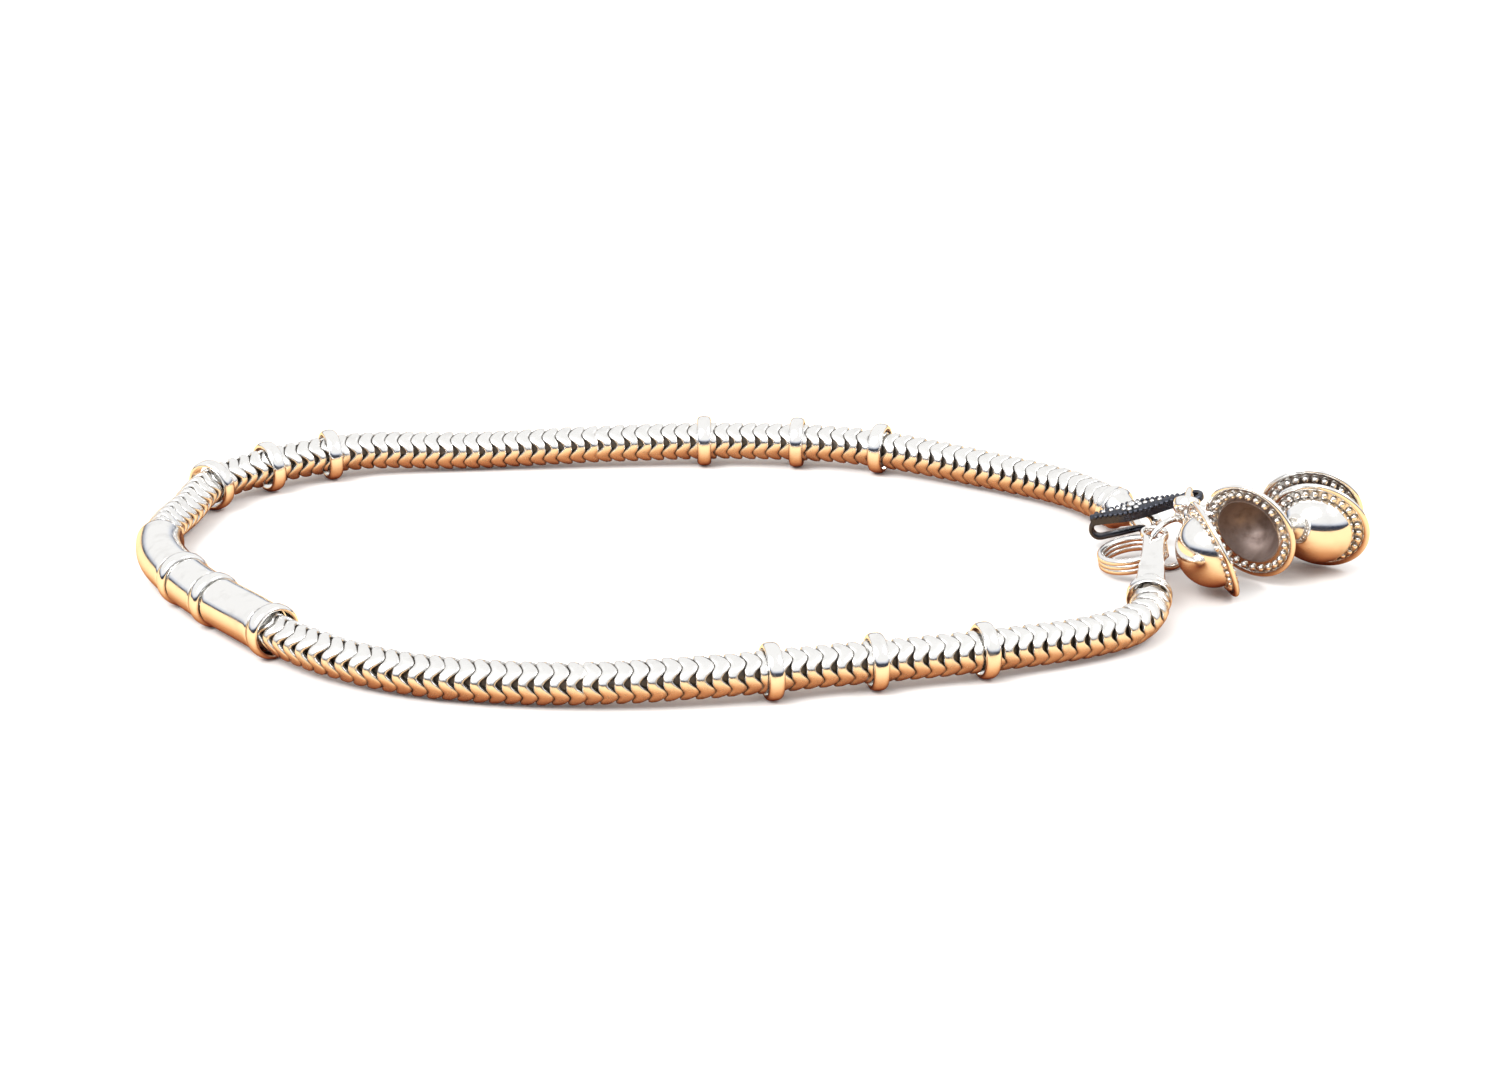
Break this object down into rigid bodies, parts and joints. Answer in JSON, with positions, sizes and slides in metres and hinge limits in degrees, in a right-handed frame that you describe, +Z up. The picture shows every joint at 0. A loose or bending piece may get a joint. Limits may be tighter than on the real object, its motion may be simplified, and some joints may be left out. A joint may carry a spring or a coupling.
{
  "type": "payal anklet",
  "caption": "Silver snake-chain anklet lying fastened in a loop, with groups of ring beads, polished sleeves, an S-hook and coil-ring clasp, and small two-shell bells on jump rings.",
  "frame": {"origin": "middle of the anklet's outline, on the surface it rests on", "axes": "+X along the loop's length, towards the clasp; +Y across the loop; +Z up from the surface"},
  "size_m": [0.1214, 0.0654, 0.0106],
  "materials": {
    "chain_silver": "woven silver wire, rubbed bright on its crowns and grey with tarnish in its folds",
    "polished_silver": "polished silver with fine rubbed scratches",
    "wire_silver": "drawn silver wire, lightly tarnished between its turns",
    "oxidised_silver": "granulated silver, darkened in its recesses",
    "bell_silver": "pressed silver, bright outside and dull grey inside"
  },
  "bodies": {
    "root": {"snake_chain": "chain_silver", "spacer_ring_01": "polished_silver", "spacer_ring_02": "polished_silver", "spacer_ring_03": "polished_silver", "spacer_ring_04": "polished_silver", "spacer_ring_05": "polished_silver", "spacer_ring_06": "polished_silver", "spacer_ring_07": "polished_silver", "spacer_ring_08": "polished_silver", "spacer_ring_09": "polished_silver", "spacer_ring_10": "polished_silver", "spacer_ring_11": "polished_silver", "spacer_ring_12": "polished_silver", "polished_sleeve_1": "polished_silver", "polished_sleeve_2": "polished_silver", "polished_sleeve_3": "polished_silver", "end_cap_loop": "polished_silver", "end_cap_tongue": "polished_silver", "coil_ring": "wire_silver", "s_hook": "oxidised_silver", "jump_ring_join": "wire_silver", "jump_ring_upright": "wire_silver", "jump_ring_flat": "wire_silver", "jump_ring_small": "wire_silver", "bell_open": "bell_silver", "bell_shut": "bell_silver"}
  },
  "joints": []
}
